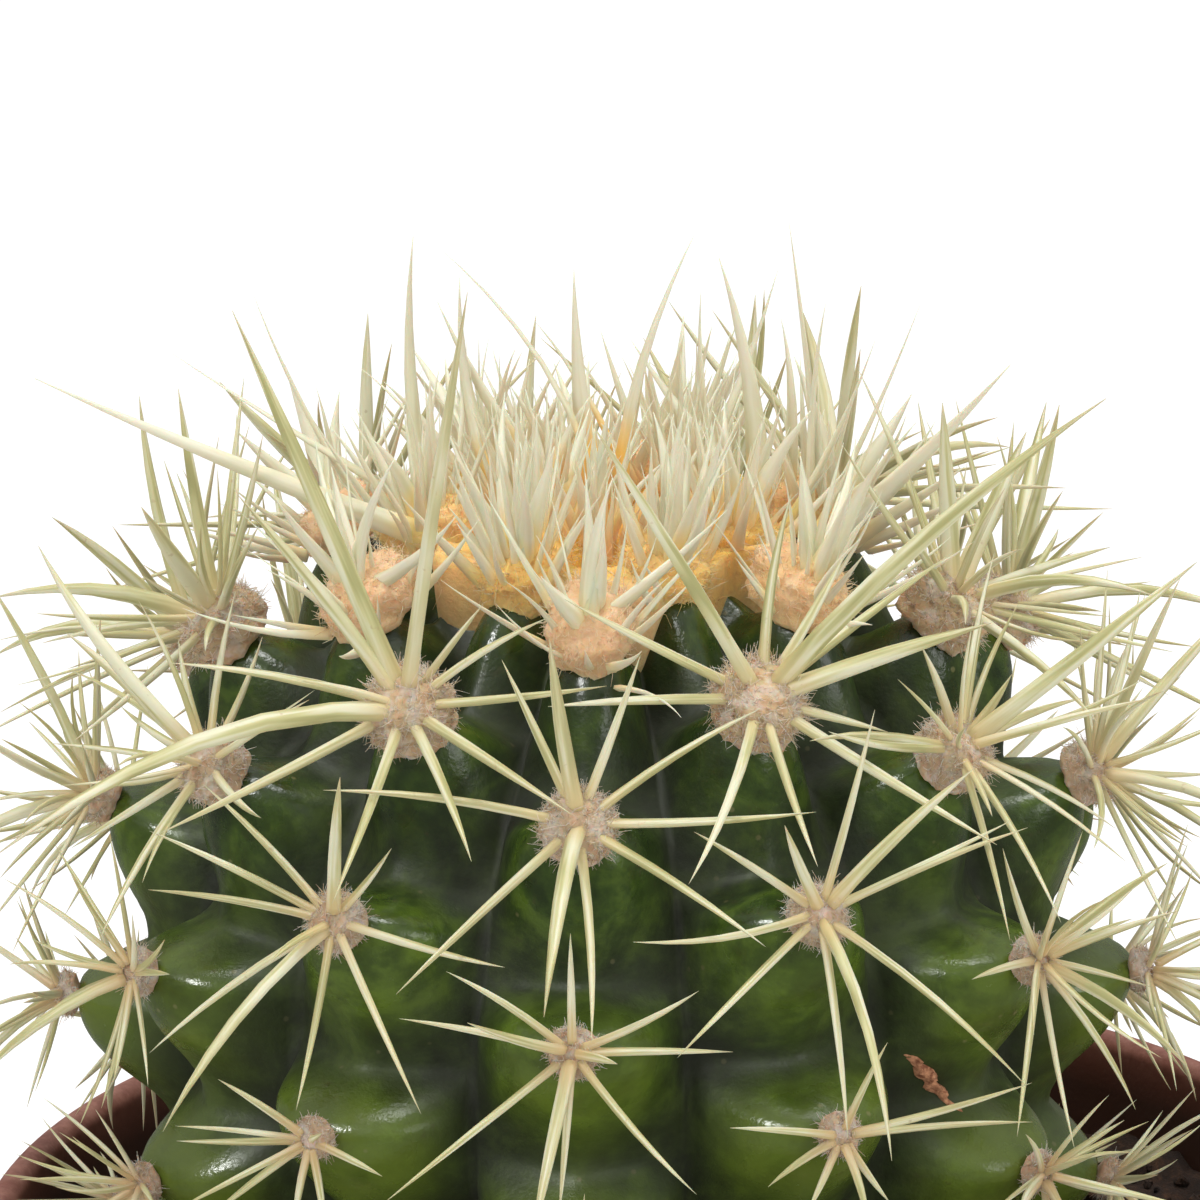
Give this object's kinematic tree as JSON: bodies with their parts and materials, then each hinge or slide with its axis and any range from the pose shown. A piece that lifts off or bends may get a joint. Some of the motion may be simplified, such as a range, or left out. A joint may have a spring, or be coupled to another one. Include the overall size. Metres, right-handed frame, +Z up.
{
  "type": "potted round cactus",
  "caption": "Round ribbed barrel cactus with a woolly crown and straw-coloured spines, standing in dark soil in a plain round nursery pot.",
  "frame": {"origin": "centre of the pot's flat foot, on the surface it stands on", "axes": "+Z up, -Y towards the viewer of the picture, +X to the viewer's right"},
  "size_m": [0.1235, 0.1209, 0.1914],
  "materials": {
    "pot_plastic": "satin red-brown moulded plastic with a lighter scuffed lip",
    "soil_peat": "dark crumbly peat with orange-brown fibres",
    "stem_skin": "glossy dark green waxy skin, mottled, darker in the grooves",
    "crown_wool": "peach-coloured felt with ivory and orange-yellow young spines",
    "spine_straw": "satin ivory-straw spines, faintly banded, tan felt at the root"
  },
  "bodies": {
    "root": {"pot": "pot_plastic", "soil": "soil_peat", "stem": "stem_skin", "crown": "crown_wool", "areole_rib01_row1": "spine_straw", "areole_rib01_row2": "spine_straw", "areole_rib01_row3": "spine_straw", "areole_rib01_row4": "spine_straw", "areole_rib02_row1": "spine_straw", "areole_rib02_row2": "spine_straw", "areole_rib02_row3": "spine_straw", "areole_rib02_row4": "spine_straw", "areole_rib03_row1": "spine_straw", "areole_rib03_row2": "spine_straw", "areole_rib03_row3": "spine_straw", "areole_rib03_row4": "spine_straw", "areole_rib04_row1": "spine_straw", "areole_rib04_row2": "spine_straw", "areole_rib04_row3": "spine_straw", "areole_rib04_row4": "spine_straw", "areole_rib05_row1": "spine_straw", "areole_rib05_row2": "spine_straw", "areole_rib05_row3": "spine_straw", "areole_rib05_row4": "spine_straw", "areole_rib06_row1": "spine_straw", "areole_rib06_row2": "spine_straw", "areole_rib06_row3": "spine_straw", "areole_rib06_row4": "spine_straw", "areole_rib07_row1": "spine_straw", "areole_rib07_row2": "spine_straw", "areole_rib07_row3": "spine_straw", "areole_rib07_row4": "spine_straw", "areole_rib08_row1": "spine_straw", "areole_rib08_row2": "spine_straw", "areole_rib08_row3": "spine_straw", "areole_rib09_row1": "spine_straw", "areole_rib09_row2": "spine_straw", "areole_rib09_row3": "spine_straw", "areole_rib09_row4": "spine_straw", "areole_rib10_row1": "spine_straw", "areole_rib10_row2": "spine_straw", "areole_rib10_row3": "spine_straw", "areole_rib11_row1": "spine_straw", "areole_rib11_row2": "spine_straw", "areole_rib11_row3": "spine_straw", "areole_rib11_row4": "spine_straw", "areole_rib12_row1": "spine_straw", "areole_rib12_row2": "spine_straw", "areole_rib12_row3": "spine_straw", "areole_rib13_row1": "spine_straw", "areole_rib13_row2": "spine_straw", "areole_rib13_row3": "spine_straw", "areole_rib13_row4": "spine_straw"}
  },
  "joints": []
}
